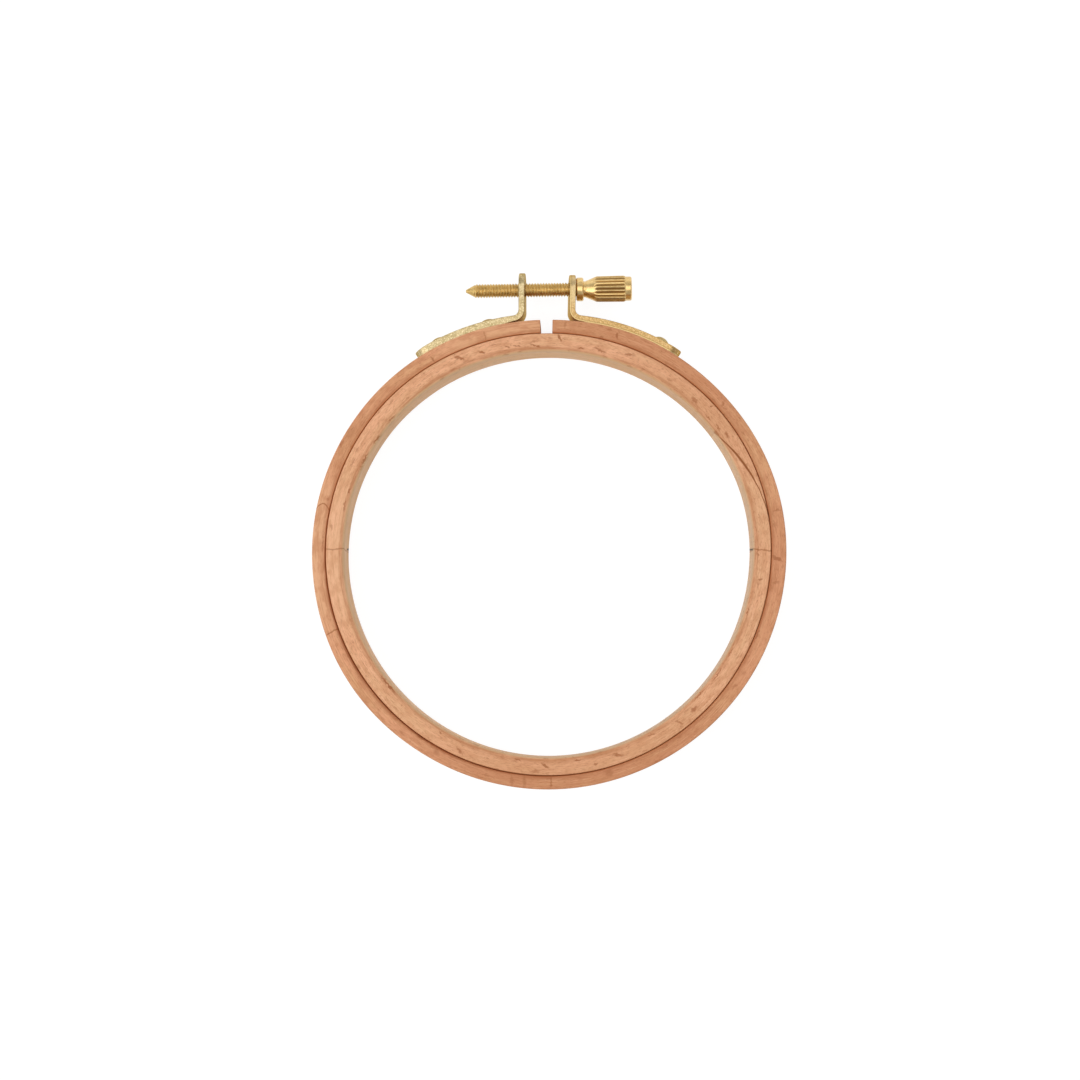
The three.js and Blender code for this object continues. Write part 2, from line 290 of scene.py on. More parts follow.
class Paint:
    """A finish being mixed: each step takes plain values or the results of other steps."""

    def __init__(self, name):
        self.material = bpy.data.materials.new(name)
        self.material.use_nodes = True
        self.nodes = self.material.node_tree.nodes
        self.links = self.material.node_tree.links
        self.shader = self.nodes["Principled BSDF"]

    def put(self, socket, value):
        if isinstance(value, bpy.types.NodeSocket):
            self.links.new(value, socket)
        else:
            socket.default_value = value

    def finish(self, inputs):
        for name, value in inputs.items():
            self.put(self.shader.inputs[name], value)

    def step(self, kind, inputs, **settings):
        """The outputs of a new node, whose inputs are given by name or by number."""
        node = self.nodes.new("ShaderNode" + kind)
        for name, setting in settings.items():
            setattr(node, name, setting)
        for socket, value in inputs.items():
            self.put(node.inputs[socket], value)
        return node.outputs

    def stored(self, name, output="Vector"):
        return self.step("Attribute", {}, attribute_name=name)[output]

    def sums(self, operation, *values):
        return self.step("Math", dict(enumerate(values)), operation=operation)["Value"]

    def times(self, value, other):
        return self.sums("MULTIPLY", value, other)

    def apart(self, value, other):
        return self.sums("ABSOLUTE", self.sums("SUBTRACT", value, other))

    def parts(self, vector):
        outputs = self.step("SeparateXYZ", {"Vector": vector})
        return outputs["X"], outputs["Y"], outputs["Z"]

    def sized(self, vector, sizes, shift=0.0):
        place = (shift, shift * 1.7, shift * 0.6)
        scale = tuple(1 / size for size in sizes)
        return self.step("Mapping", {"Vector": vector, "Location": place, "Scale": scale})["Vector"]

    def clouds(self, vector, detail=3.0, roughness=0.55, output="Fac"):
        inputs = {"Vector": vector, "Scale": 1.0, "Detail": detail, "Roughness": roughness}
        return self.step("TexNoise", inputs)[output]

    def swayed(self, vector, size, amount):
        """The same place pushed about by soft noise, so that what is drawn there has wavy edges."""
        drift = self.clouds(self.sized(vector, (size,) * 3), 1.0, output="Color")
        centred = self.step("VectorMath", {0: drift, 1: (0.5,) * 3}, operation="SUBTRACT")["Vector"]
        inputs = {0: centred, 1: (amount,) * 3, 2: vector}
        return self.step("VectorMath", inputs, operation="MULTIPLY_ADD")["Vector"]

    def between(self, value, low, high, at_low=0.0, at_high=1.0):
        inputs = {"Value": value, "From Min": low, "From Max": high, "To Min": at_low, "To Max": at_high}
        return self.step("MapRange", inputs, interpolation_type="SMOOTHSTEP")["Result"]

    def mixed(self, share, below, above):
        return self.step("Mix", {"Factor": share, "A": below, "B": above}, data_type="RGBA")["Result"]

    def specks(self, vector, reach, kept):
        """Scattered spots, some of the cells' worth, soft at the rim."""
        cells = self.step("TexVoronoi", {"Vector": vector, "Scale": 1.0})
        chance = self.step("SeparateColor", {"Color": cells["Color"]})["Red"]
        spot = self.between(cells["Distance"], reach * 0.35, reach, 1.0, 0.0)
        return self.times(spot, self.between(chance, 1 - kept, 1.1 - kept))

    def fleck(self, vector, place, sizes, lean):
        """One long spot with soft ends: one at its middle, nothing outside it."""
        turned = (0, 0, math.radians(lean))
        inputs = {"Vector": vector, "Location": place, "Rotation": turned, "Scale": sizes}
        from_middle = self.step("Mapping", inputs, vector_type="TEXTURE")["Vector"]
        reach = self.step("VectorMath", {0: from_middle}, operation="LENGTH")["Value"]
        return self.between(reach, 0.4, 1.15, 1.0, 0.0)

    def raised(self, height, strength, distance):
        inputs = {"Height": height, "Strength": strength, "Distance": distance * MM}
        self.finish({"Normal": self.step("Bump", inputs)["Normal"]})


FLECK_DEPTH = 2.5
FLECK_SPREAD = 0.68
WHOLE_SECTION = 60.0


class Beech(Paint):
    """Bare beech, coloured in layers: broad pink and tan tones first, single marks last."""

    def __init__(self, name, tones, seed, start):
        super().__init__(name)
        self.tones = tones
        self.seed = seed
        self.start = start
        self.grain = self.stored("grain")
        self.along, self.radius, self.height = self.parts(self.grain)
        self.broad = self.figure((13.0, 2.6, 2.6), 0)
        self.streaks = self.figure((8.0, 0.28, 0.28), 9, 3.0, 0.6)
        self.pores = self.figure((0.9, 0.16, 0.16), 13, 2.0, 0.6)
        self.busy = 1.0
        self.colour = self.mixed(self.between(self.broad, 0.36, 0.64), tones["pink"], tones["tan"])

    def figure(self, sizes, shift, detail=3.0, roughness=0.55):
        """Soft noise drawn out along the strip, its sizes in millimetres."""
        return self.clouds(self.sized(self.grain, sizes, self.seed + shift), detail, roughness)

    def stain(self, share, tone):
        self.colour = self.mixed(share, self.colour, self.tones[tone])

    def measured(self, angle):
        """How far along the straight strip an angle of the hoop lies, in millimetres."""
        return math.radians((angle - self.start) % 360) * OUTER_BORE

    def patch(self, angle, half_length):
        """A long part of the strip, over its whole section: one in its middle, nothing beyond it."""
        sizes = (math.radians(half_length) * OUTER_BORE, WHOLE_SECTION, WHOLE_SECTION)
        return self.fleck(self.grain, (self.measured(angle), OUTER_BORE, 0.0), sizes, 0)

    def add_figure(self, patches):
        """Patches, blotches and streaks, and dark pores that are fainter where the wood is pale."""
        for angle, half_length, depth, tone in patches:
            patch = self.patch(angle, half_length)
            self.stain(self.times(patch, depth), tone)
            if tone == "pale":
                self.busy = self.times(self.busy, self.between(patch, 0.0, 1.0, 1.0, 0.35))
        blotches = self.figure((3.0, 1.5, 1.5), 5, 2.0)
        self.stain(self.between(blotches, 0.42, 0.66, 0.0, 0.62), "ruddy")
        self.stain(self.between(self.streaks, 0.48, 0.7, 0.0, 0.66), "ruddy")
        self.stain(self.between(self.streaks, 0.3, 0.46, 0.5, 0.0), "pale")
        dark_pores = self.between(self.pores, 0.5, 0.68, 0.0, 0.4)
        self.stain(self.times(dark_pores, self.busy), "fleck")

    def shade_bore_edge(self):
        """Painted shade, with some dirt, on the edge nearest the hoop's middle, darker in some places than
        in others.
        """
        share = self.tones["edge_share"]
        near_bore = self.between(self.radius, *self.tones["edge_reach"], 1.0, 0.0)
        patchiness = self.figure((9.0, 0.7, 0.7), 17, 3.0, 0.6)
        shade_share = self.between(patchiness, 0.36, 0.62, share * 0.2, share)
        self.stain(self.times(near_bore, shade_share), "edge")

    def shade_seam(self):
        """Painted shade, with some dirt: a brown line where the two rings meet, near the top face only."""
        seam = self.between(self.apart(self.radius, OUTER_BORE), 0.08, 0.3, 0.75, 0.0)
        near_top = self.between(self.height, self.tones["face"] - 1.6, self.tones["face"] - 0.6)
        self.stain(self.times(seam, near_top), "seam")

    def add_flecks(self, flecks):
        """Scattered specks of two sizes all over, then the single flecks of the top face."""
        wavy = self.swayed(self.grain, 0.7, 0.9)
        for sizes, reach, depth in (((3.4, 1.0, 1.0), 0.34, 0.4), ((1.7, 0.5, 0.5), 0.32, 0.36)):
            spots = self.specks(self.sized(wavy, sizes, self.seed), reach, 0.4)
            self.stain(self.times(self.times(spots, depth), self.busy), "fleck")
        darkest = 0.0
        for angle, middle, length, width, lean, depth in flecks:
            place = (self.measured(angle), middle, self.tones["face"])
            sizes = (length * FLECK_SPREAD, width * FLECK_SPREAD, FLECK_DEPTH)
            spot = self.fleck(wavy, place, sizes, lean)
            darkest = self.sums("MAXIMUM", self.times(spot, depth), darkest)
        self.stain(darkest, "fleck")

    def add_cracks(self, cracks):
        """Fine lines across the strip, each from its near end to its far one."""
        wobble = self.between(self.figure((40.0, 2.2, 2.2), 0), 0.3, 0.7, -0.2, 0.2)
        wandering = self.sums("ADD", self.along, wobble)
        for angle, near, far, lean, bow, depth in cracks:
            offset = self.sums("SUBTRACT", wandering, self.measured(angle))
            across = self.sums("SUBTRACT", self.radius, (near + far) / 2)
            path = self.times(self.sums("MULTIPLY_ADD", across, bow, lean), across)
            line = self.between(self.apart(offset, path), 0.05, 0.27, depth, 0.0)
            begun = self.between(self.radius, near - 0.3, near)
            ended = self.between(self.radius, far, far + 0.3, 1.0, 0.0)
            self.stain(self.times(line, self.times(begun, ended)), "crack")

    def bare(self):
        """Lays the colour on, with the bare wood's low sheen and its fine raised grain."""
        roughness = self.between(self.broad, 0.3, 0.7, 0.52, 0.66)
        self.finish({"Base Color": self.colour, "Roughness": roughness, "Specular IOR Level": 0.2})
        self.raised(self.sums("ADD", self.streaks, self.pores), 0.35, 0.05)
        return self.material


outer_tones = {
    "pink": (0.71, 0.335, 0.178, 1),
    "tan": (0.67, 0.35, 0.175, 1),
    "ruddy": (0.53, 0.222, 0.104, 1),
    "pale": (0.76, 0.42, 0.235, 1),
    "fleck": (0.34, 0.115, 0.042, 1),
    "crack": (0.28, 0.075, 0.012, 1),
    # The edge tone is painted shade, with some dirt, near the bore edge.
    "edge": (0.4, 0.14, 0.055, 1),
    # The seam tone is painted shade, with some dirt, where the two rings meet.
    "seam": (0.42, 0.12, 0.03, 1),
    "edge_reach": (OUTER_BORE + 0.2, OUTER_BORE + 1.3),
    "edge_share": 0.75,
    "face": OUTER_DEPTH,
}
# Marks in the wood, each by its angle on the hoop: patches with their half length in degrees, their depth
# and tone, flecks with their distance from the hoop's middle, length, width, lean and depth, and cracks
# with their two ends, lean, bow and depth.
# The pale patch on the left is partly painted light and the ruddy patches on the right partly painted
# shade; otherwise the patches are the wood's own tone.
outer_patches = (
    (62, 40, 0.6, "ruddy"),
    (276, 48, 0.68, "ruddy"),
    (338, 45, 0.22, "ruddy"),
    (145, 17, 0.35, "ruddy"),
    (2, 9, 0.3, "ruddy"),
    (181, 24, 0.75, "pale"),
    (105, 16, 0.4, "pale"),
)
outer_flecks = (
    (177.0, 50.6, 4.5, 0.25, 0, 0.5),
    (148.5, 52.0, 3.0, 1.2, 0, 0.3),
    (152.0, 52.5, 1.4, 0.6, 10, 0.5),
    (120.7, 50.9, 1.5, 0.3, 69, 0.7),
    (85.6, 52.0, 1.6, 0.5, 90, 0.4),
    (76.0, 50.4, 0.9, 0.5, 11, 0.6),
    (72.2, 51.7, 1.3, 0.6, 69, 0.8),
    (40.2, 51.5, 1.0, 0.6, 80, 0.6),
    (10.3, 52.0, 1.7, 0.4, 89, 0.5),
    (358.4, 51.3, 2.3, 0.6, -66, 0.75),
    (352.4, 51.5, 1.6, 0.6, 80, 0.45),
    (338.3, 50.4, 2.8, 0.3, 0, 0.7),
    (285.7, 51.2, 1.6, 1.4, -5, 0.4),
    (264.2, 51.7, 2.6, 0.7, 84, 0.4),
    (261.1, 51.9, 2.4, 0.7, 81, 0.4),
    (240.9, 51.2, 1.5, 1.1, 12, 0.45),
    (236.0, 50.3, 2.3, 0.4, -15, 0.6),
    (166.4, 51.0, 0.7, 0.5, 0, 0.5),
)
outer_cracks = (
    (105.9, 50.5, 52.2, 0.0, 0.3, 0.35),
    (167.7, 50.2, 52.9, 0.0, 0.65, 0.65),
    (200.1, 50.3, 52.8, 0.0, 0.1, 0.6),
    (270.9, 50.5, 52.3, 0.05, 0.0, 0.45),
)
red_beech = Beech("red_beech", outer_tones, 3.0, GRAIN_START)
red_beech.add_figure(outer_patches)
red_beech.shade_bore_edge()
red_beech.shade_seam()
red_beech.add_flecks(outer_flecks)
red_beech.add_cracks(outer_cracks)
outer_wood.data.materials.append(red_beech.bare())
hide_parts("outer_ring")
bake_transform(outer_wood)


# INNER RING
# A strip of paler beech whose two ends are planed to long feather edges and glued over each other,
# so a dark scarf line crosses its edge on the right. Its bore is sanded rounder than its outside.
INNER_BORE = 45.85
INNER_RADIUS = 49.92
INNER_DEPTH = 12.3
BORE_EASE = 0.95
SCARF_OUTSIDE = 8.5
SCARF_INSIDE = 35.5
SCARF_BOW = 1.38
GLUE_LINE = 0.02
FEATHER = 0.03
FAR_FROM_GLUE = 9.0
NICK_LEAN = 0.056


def scarf_radius(angle):
    """Where the joint's slope lies, from the ring's outside in to its bore, a little wavy."""
    share = (angle - SCARF_OUTSIDE) / (SCARF_INSIDE - SCARF_OUTSIDE)
    wave = 0.09 * noise.noise(Vector((angle * 0.45, 2.0, 7.0))) * math.sin(math.pi * share)
    return INNER_RADIUS + (INNER_BORE - INNER_RADIUS) * share ** SCARF_BOW + wave


def glue_width(angle):
    """Half the stained width in millimetres: widest in the middle of the joint."""
    return 0.1 + 0.16 * hump(angle, 25, 9)


def planed(section, edge, keeps_outside, bore_ease, rim_ease):
    """What the joint's slope leaves of the ring's rounded section, outside the slope or inside it."""
    drop = 0.0
    for ease, away in ((bore_ease, edge - INNER_BORE), (rim_ease, INNER_RADIUS - edge)):
        if away < ease:
            drop = max(drop, ease - math.sqrt(ease ** 2 - (ease - away) ** 2))
    left = []
    for radius, height in section:
        planed_off = radius < edge if keeps_outside else radius > edge
        if planed_off:
            left.append((edge, min(max(height, drop), INNER_DEPTH - drop)))
        else:
            left.append((radius, height))
    return left


inner_rows = []
inner_angles = []
glue_distances = []
for step in range(int(360 + SCARF_INSIDE - SCARF_OUTSIDE) + 1):
    angle = SCARF_OUTSIDE + step
    rim_ease = EASED_EDGE * hand_sanded(angle, 5.0)
    bore_ease = BORE_EASE * hand_sanded(angle, 9.0)
    section = eased_section(INNER_BORE, INNER_RADIUS, 0.0, INNER_DEPTH, bore_ease, rim_ease)
    slope = None
    if angle < SCARF_INSIDE:
        slope = scarf_radius(angle)
        edge = min(max(slope + GLUE_LINE / 2, INNER_BORE), INNER_RADIUS - FEATHER)
        section = planed(section, edge, True, bore_ease, rim_ease)
    if angle > 360 + SCARF_OUTSIDE:
        slope = scarf_radius(angle - 360)
        edge = max(min(slope - GLUE_LINE / 2, INNER_RADIUS), INNER_BORE + FEATHER)
        section = planed(section, edge, False, bore_ease, rim_ease)
    inner_rows.append((angle, section))
    for radius, height in section:
        inner_angles.append(angle)
        if slope is None:
            glue_distances.append(FAR_FROM_GLUE)
        else:
            glue_distances.append(abs(radius - slope) / glue_width(angle % 360))
inner_wood = bent_strip("inner_ring_wood", inner_rows)
mark_grain(inner_wood, SCARF_OUTSIDE, inner_angles)
glue = inner_wood.data.attributes.new("glue", "FLOAT", "POINT")
glue.data.foreach_set("value", glue_distances)
inner_tones = {
    "pink": (0.79, 0.41, 0.232, 1),
    "tan": (0.73, 0.405, 0.22, 1),
    "ruddy": (0.61, 0.29, 0.145, 1),
    "pale": (0.84, 0.49, 0.295, 1),
    "fleck": (0.33, 0.105, 0.034, 1),
    "crack": (0.27, 0.075, 0.012, 1),
    # The edge tone is painted shade, with some dirt, near the bore edge.
    "edge": (0.44, 0.175, 0.07, 1),
    # The seam tone is painted shade, with some dirt, where the two rings meet.
    "seam": (0.42, 0.12, 0.03, 1),
    "edge_reach": (INNER_BORE + 0.9, INNER_BORE + 1.5),
    "edge_share": 0.62,
    "wall": (0.78, 0.5, 0.27, 1),
    "wall_streak_and_shade": (0.65, 0.39, 0.195, 1),
    # The sanded tone is partly painted shade on the bore's upper part.
    "sanded": (0.67, 0.438, 0.24, 1),
    "grey_wall_shade": (0.6, 0.42, 0.265, 1),
    "wall_reach": (INNER_BORE + 0.15, INNER_BORE + 0.55),
    "glue": (0.26, 0.07, 0.012, 1),
    "nick": (0.08, 0.04, 0.005, 1),
    "face": INNER_DEPTH,
}
# The pale patch on the left is partly painted light and the ruddy patches on the right partly painted
# shade; otherwise the patches are the wood's own tone.
inner_patches = (
    (42, 26, 0.45, "ruddy"),
    (275, 45, 0.5, "ruddy"),
    (180, 22, 0.5, "pale"),
)
inner_flecks = (
    (219.8, 46.5, 5.0, 0.45, 0, 0.85),
    (167.0, 46.9, 3.0, 0.35, -4, 0.6),
    (162.9, 46.8, 1.6, 0.35, 0, 0.8),
    (153.0, 46.3, 2.6, 0.3, 4, 0.7),
    (146.4, 46.2, 2.6, 0.35, 6, 0.75),
    (139.6, 46.4, 2.0, 0.35, 8, 0.7),
    (359.6, 46.9, 2.4, 0.35, 0, 0.55),
    (35.2, 46.1, 1.4, 1.0, 0, 0.6),
    (114.4, 48.5, 2.3, 0.6, 39, 0.75),
    (108.0, 47.8, 1.6, 0.4, 29, 0.8),
    (101.1, 47.7, 1.2, 0.4, 25, 0.75),
    (98.5, 47.5, 1.4, 0.3, 15, 0.7),
    (93.4, 47.2, 2.3, 0.4, 16, 0.8),
    (86.8, 48.9, 1.5, 0.45, 61, 0.8),
    (80.6, 47.0, 1.5, 0.3, -4, 0.8),
    (75.4, 47.4, 2.7, 0.6, 9, 0.7),
    (67.8, 48.3, 1.4, 0.7, -11, 0.65),
    (46.1, 47.5, 1.6, 0.8, 8, 0.65),
    (41.7, 49.1, 0.6, 0.4, -20, 0.8),
    (39.8, 46.9, 1.8, 0.25, 0, 0.7),
    (36.3, 47.3, 1.6, 0.4, 11, 0.7),
    (33.1, 47.9, 1.6, 0.7, 5, 0.7),
    (352.7, 47.9, 0.9, 0.5, 59, 0.7),
    (173.2, 49.0, 1.5, 0.5, -12, 0.45),
    (239.3, 46.9, 0.9, 0.4, 9, 0.7),
    (246.2, 48.6, 2.0, 0.6, 29, 0.7),
    (261.9, 46.9, 1.5, 0.3, 6, 0.75),
    (269.4, 47.8, 1.8, 0.5, 25, 0.75),
    (266.8, 49.1, 2.4, 0.7, -7, 0.5),
    (278.2, 47.0, 1.5, 0.3, 2, 0.75),
    (282.8, 48.5, 1.2, 0.4, -5, 0.7),
    (289.1, 48.0, 2.2, 0.7, 25, 0.65),
    (299.7, 47.0, 1.6, 0.3, 6, 0.75),
    (307.7, 48.2, 1.7, 0.5, 52, 0.65),
    (313.0, 48.0, 1.5, 0.9, 9, 0.7),
    (316.8, 46.6, 3.4, 0.3, 2, 0.75),
    (324.1, 46.8, 3.3, 0.3, 0, 0.75),
    (331.2, 46.7, 2.2, 0.3, 2, 0.75),
    (343.3, 46.7, 2.0, 0.25, -5, 0.75),
)
inner_cracks = (
    (179.1, 45.5, 49.8, 0.0, 0.0, 0.5),
    (0.5, 45.5, 49.8, -0.1, 0.0, 0.55),
)
# Painted shade on the right side of the bore, each patch by its angle, half length in degrees, depth and
# tone.
wall_shade_patches = (
    (330, 75, 0.8, "grey_wall_shade"),
    (22, 45, 0.8, "grey_wall_shade"),
    (52, 30, 0.7, "wall_streak_and_shade"),
)
# Painted shade of small notches: dark slits up the bore from the bottom, each by its angle on the hoop and
# the height of its upper end.
wall_nicks = ((179.1, 5.5), (0.7, 12.0))


def colour_and_shade_wall(wood, patches):
    """The bore, sanded paler than the faces, its upper part painted darker and greyer, partly as shade, and
    painted shade on the right side, greyer or browner in places.
    """
    tones = wood.tones
    wall = wood.mixed(wood.between(wood.streaks, 0.4, 0.7), tones["wall"], tones["wall_streak_and_shade"])
    # Painted shade, in part: the bore's upper part, which the top face's light reaches fully, turns darker
    # and greyer.
    upper = wood.between(wood.height, INNER_DEPTH - 3.4, INNER_DEPTH - 1.2)
    wall = wood.mixed(upper, wall, tones["sanded"])
    # Painted shade: greyer and browner patches on the right side of the bore.
    for angle, half_length, depth, tone in patches:
        share = wood.times(wood.patch(angle, half_length), depth)
        wall = wood.mixed(share, wall, tones[tone])
    on_wall = wood.between(wood.radius, *tones["wall_reach"], 0.88, 0.0)
    wood.colour = wood.mixed(on_wall, wood.colour, wall)


def stain_with_glue(wood):
    """The joint's brown line, everywhere but on the bore."""
    stained = wood.between(wood.stored("glue", "Fac"), 0.5, 1.6, 0.9, 0.0)
    off_wall = wood.between(wood.radius, *wood.tones["wall_reach"])
    wood.stain(wood.times(stained, off_wall), "glue")


def nick_wall(wood, nicks):
    """Painted shade of small notches: slits that lean a little off upright, one way on the left and the
    other on the right.
    """
    on_wall = wood.between(wood.radius, *wood.tones["wall_reach"], 1.0, 0.0)
    for angle, top in nicks:
        lean = NICK_LEAN * math.cos(math.radians(angle))
        leaning = wood.sums("MULTIPLY_ADD", wood.height, lean, wood.along)
        offset = wood.apart(leaning, wood.measured(angle) + lean * INNER_DEPTH)
        slit = wood.between(offset, 0.12, 0.32, 1.0, 0.0)
        low = wood.between(wood.height, top - 1.0, top, 1.0, 0.0)
        wood.stain(wood.times(slit, wood.times(low, on_wall)), "nick")


pale_beech = Beech("pale_beech", inner_tones, 11.0, SCARF_OUTSIDE)
pale_beech.add_figure(inner_patches)
pale_beech.shade_bore_edge()
colour_and_shade_wall(pale_beech, wall_shade_patches)
pale_beech.shade_seam()
pale_beech.add_flecks(inner_flecks)
pale_beech.add_cracks(inner_cracks)
stain_with_glue(pale_beech)
nick_wall(pale_beech, wall_nicks)
inner_wood.data.materials.append(pale_beech.bare())
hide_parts("inner_ring")
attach(inner_wood, "inner_hoop")


# BRACKETS
# Two straps of brass strip with round ends, tumbled until their edges are soft and finely pitted.
# Each lies along the outer ring and turns up into an ear. Both sit slightly askew, the right one more.
STRIP_THICKNESS = 1.38
STRIP_WIDTH = 6.2
STRIP_LIFT = 0.4
STRIP_SEAT = 0.01
TUMBLED_EDGE = 0.21
SHEARED_TO = -0.28
EAR_PALE_FROM = 26.5
BEND_RADIUS = 2.1
EAR_MIDDLE = {"left": 5.83, "right": 5.5}
EAR_REACH = {"left": 11.2, "right": 10.75}
EAR_LEAN = {"left": 0.0, "right": 0.02}
ASKEW = {"left": 0.05, "right": 0.08}
STANDS_OFF = {"left": 0.16, "right": 0.02}
TAIL_LIFT = {"left": 0.0, "right": 0.22}
TAIL_ANGLE = 33.5
SCREW_HEIGHT = 7.45
SCREW_HOLE = 1.85
HOLE_CHAMFER = 0.25
HOLE_SIDES = 48
DRILL_REACH = 3.0
SCREW_AXIS_Y = OUTER_RADIUS + SCREW_HEIGHT
STRAP_MIDDLE = OUTER_RADIUS + STRIP_LIFT + STRIP_THICKNESS / 2
ROW_LENGTH = 0.22
# Lengths along a strap, from its tail: how far its end curls off the wood, where it starts to stand askew
# and over what length, and before the bend how soon it stops lying on the wood.
TAIL_CURL = 4.0
ASKEW_FROM = 15.0
ASKEW_OVER = 8.0
SEATED_OVER = 2.5
# The strap follows the hoop's own form up to this far below the screw's axis, and loses it above.
FORM_LOST_FROM = 2.5
FORM_LOST_OVER = 3.0


def ramp(value, start, length):
    """Nothing up to the start, one from a length beyond it, and straight between."""
    return min(1.0, max(0.0, (value - start) / length))


def strap_path(ear_middle, reach):
    """Places along a strap's middle line: (distance, point, direction out of the strip)."""
    bend_x = ear_middle + BEND_RADIUS
    bend_y = math.sqrt((STRAP_MIDDLE + BEND_RADIUS) ** 2 - bend_x ** 2)
    bend_start = math.atan2(bend_y, bend_x)
    tail = math.radians(90 - TAIL_ANGLE)
    places = []
    steps = 150
    for step in range(steps):
        turn = tail + (bend_start - tail) * step / steps
        out = Vector((math.cos(turn), math.sin(turn), 0))
        places.append((STRAP_MIDDLE * (turn - tail), out * STRAP_MIDDLE, out))
    strap = STRAP_MIDDLE * (bend_start - tail)
    steps = 40
    for step in range(steps):
        turn = bend_start + math.pi - bend_start * step / steps
        out = Vector((-math.cos(turn), -math.sin(turn), 0))
        point = Vector((bend_x, bend_y, 0)) - out * BEND_RADIUS
        places.append((strap + BEND_RADIUS * bend_start * step / steps, point, out))
    bend = strap + BEND_RADIUS * bend_start
    top = OUTER_RADIUS + reach
    steps = 60
    for step in range(steps + 1):
        y = bend_y + (top - bend_y) * step / steps
        places.append((bend + y - bend_y, Vector((ear_middle, y, 0)), Vector((1, 0, 0))))
    return places, strap, bend - bend_y


def flat_strap(name, length):
    """The strip before bending: along X from its tail, its width along Y and its thickness along Z."""
    half = STRIP_WIDTH / 2
    rows = []
    end_steps = 18
    for step in range(end_steps):
        turn = math.pi / 2 * step / end_steps
        rows.append((half, -math.cos(turn), math.sin(turn)))
    middle_steps = int((length - 2 * half) / ROW_LENGTH)
    for step in range(middle_steps + 1):
        rows.append((half + (length - 2 * half) * step / middle_steps, 0.0, 1.0))
    for step in range(end_steps):
        turn = math.pi / 2 * (step + 1) / end_steps
        rows.append((length - half, math.sin(turn), math.cos(turn)))
    section = []
    for share in (0.9, 0.45, 0.0, -0.45, -0.9):
        section.append((share, TUMBLED_EDGE, STRIP_THICKNESS / 2))
    for side in range(9):
        turn = math.pi * side / 8
        lift = math.cos(turn)
        inset = TUMBLED_EDGE * (1 - math.sin(turn))
        rise = math.copysign(STRIP_THICKNESS / 2 - TUMBLED_EDGE, lift) if abs(lift) > 1e-6 else 0.0
        section.append((-1.0, inset, rise + TUMBLED_EDGE * lift))
    below = [(-share, inset, -height) for share, inset, height in section]
    section.extend(below)
    vertices = []
    for centre, along, across in rows:
        for share, inset, height in section:
            reach = half - inset
            vertices.append((centre + reach * along, share * reach * across, height))
    faces = [(a, d, c, b) for a, b, c, d in skin(len(rows), len(section))]
    return finished_mesh(name, vertices, faces)


def merged(thing, distance=0.002):
    """Joins the points that meet at the round ends."""
    work = bmesh.new()
    work.from_mesh(thing.data)
    bmesh.ops.remove_doubles(work, verts=work.verts, dist=distance * MM)
    bmesh.ops.recalc_face_normals(work, faces=work.faces)
    work.to_mesh(thing.data)
    work.free()


def tumbled_brass(name, tones, sheared=0.0):
    """Brass dulled by tumbling: a fine pitted skin over a soft mottle, brighter where it was sheared."""
    paint = Paint(name)
    place = paint.nodes.new("ShaderNodeTexCoord").outputs["Object"]
    mottle = paint.clouds(paint.sized(place, (1.3 * MM,) * 3), 3.0)
    speckle = paint.clouds(paint.sized(place, (0.32 * MM,) * 3, 4.0), 2.0, 0.6)
    colour = paint.mixed(paint.between(mottle, 0.35, 0.65), tones["dull"], tones["bright"])
    colour = paint.mixed(paint.between(speckle, 0.48, 0.66, 0.0, 0.5), colour, tones["pit"])
    colour = paint.mixed(paint.between(speckle, 0.32, 0.48, 0.65, 0.0), colour, tones["shine"])
    if sheared:
        along, across, lift = paint.parts(paint.stored("sheet"))
        on_ear = paint.between(along, EAR_PALE_FROM, EAR_PALE_FROM + 4, 0.0, 0.5)
        colour = paint.mixed(on_ear, colour, tones["ear"])
        land = paint.between(lift, SHEARED_TO - 0.06, SHEARED_TO + 0.02, sheared, 0.0)
        colour = paint.mixed(land, colour, tones["land"])
        line = paint.between(paint.apart(lift, SHEARED_TO), 0.02, 0.1, 0.5, 0.0)
        colour = paint.mixed(line, colour, tones["pit"])
    roughness = paint.between(mottle, 0.3, 0.7, 0.32, 0.44)
    paint.finish({"Base Color": colour, "Roughness": roughness, "Metallic": 1.0})
    paint.finish({"Specular Tint": (0.7, 0.52, 0.26, 1)})
    paint.raised(speckle, 0.55, 0.05)
    return paint.material


pale_tones = {
    "dull": (0.425, 0.33, 0.165, 1),
    "bright": (0.63, 0.5, 0.275, 1),
    "pit": (0.265, 0.18, 0.075, 1),
    "shine": (0.86, 0.73, 0.455, 1),
}
golden_tones = {
    "dull": (0.46, 0.285, 0.105, 1),
    "bright": (0.61, 0.4, 0.17, 1),
    "pit": (0.27, 0.16, 0.058, 1),
    "shine": (0.77, 0.57, 0.295, 1),
    "land": (0.66, 0.49, 0.225, 1),
    "ear": (0.68, 0.55, 0.31, 1),
}
strap_brass = {
    "left": tumbled_brass("tumbled_brass", pale_tones),
    "right": tumbled_brass("golden_tumbled_brass", golden_tones, 0.75),
}
face = STRIP_THICKNESS / 2
wide = SCREW_HOLE + HOLE_CHAMFER
rivet_drill = [(0, -DRILL_REACH), (RIVET_SHANK, -DRILL_REACH), (RIVET_SHANK, DRILL_REACH), (0, DRILL_REACH)]
screw_drill = [
    (0, -DRILL_REACH),
    (wide, -DRILL_REACH),
    (wide, -face),
    (SCREW_HOLE, HOLE_CHAMFER - face),
    (SCREW_HOLE, face - HOLE_CHAMFER),
    (wide, face),
    (wide, DRILL_REACH),
    (0, DRILL_REACH),
]
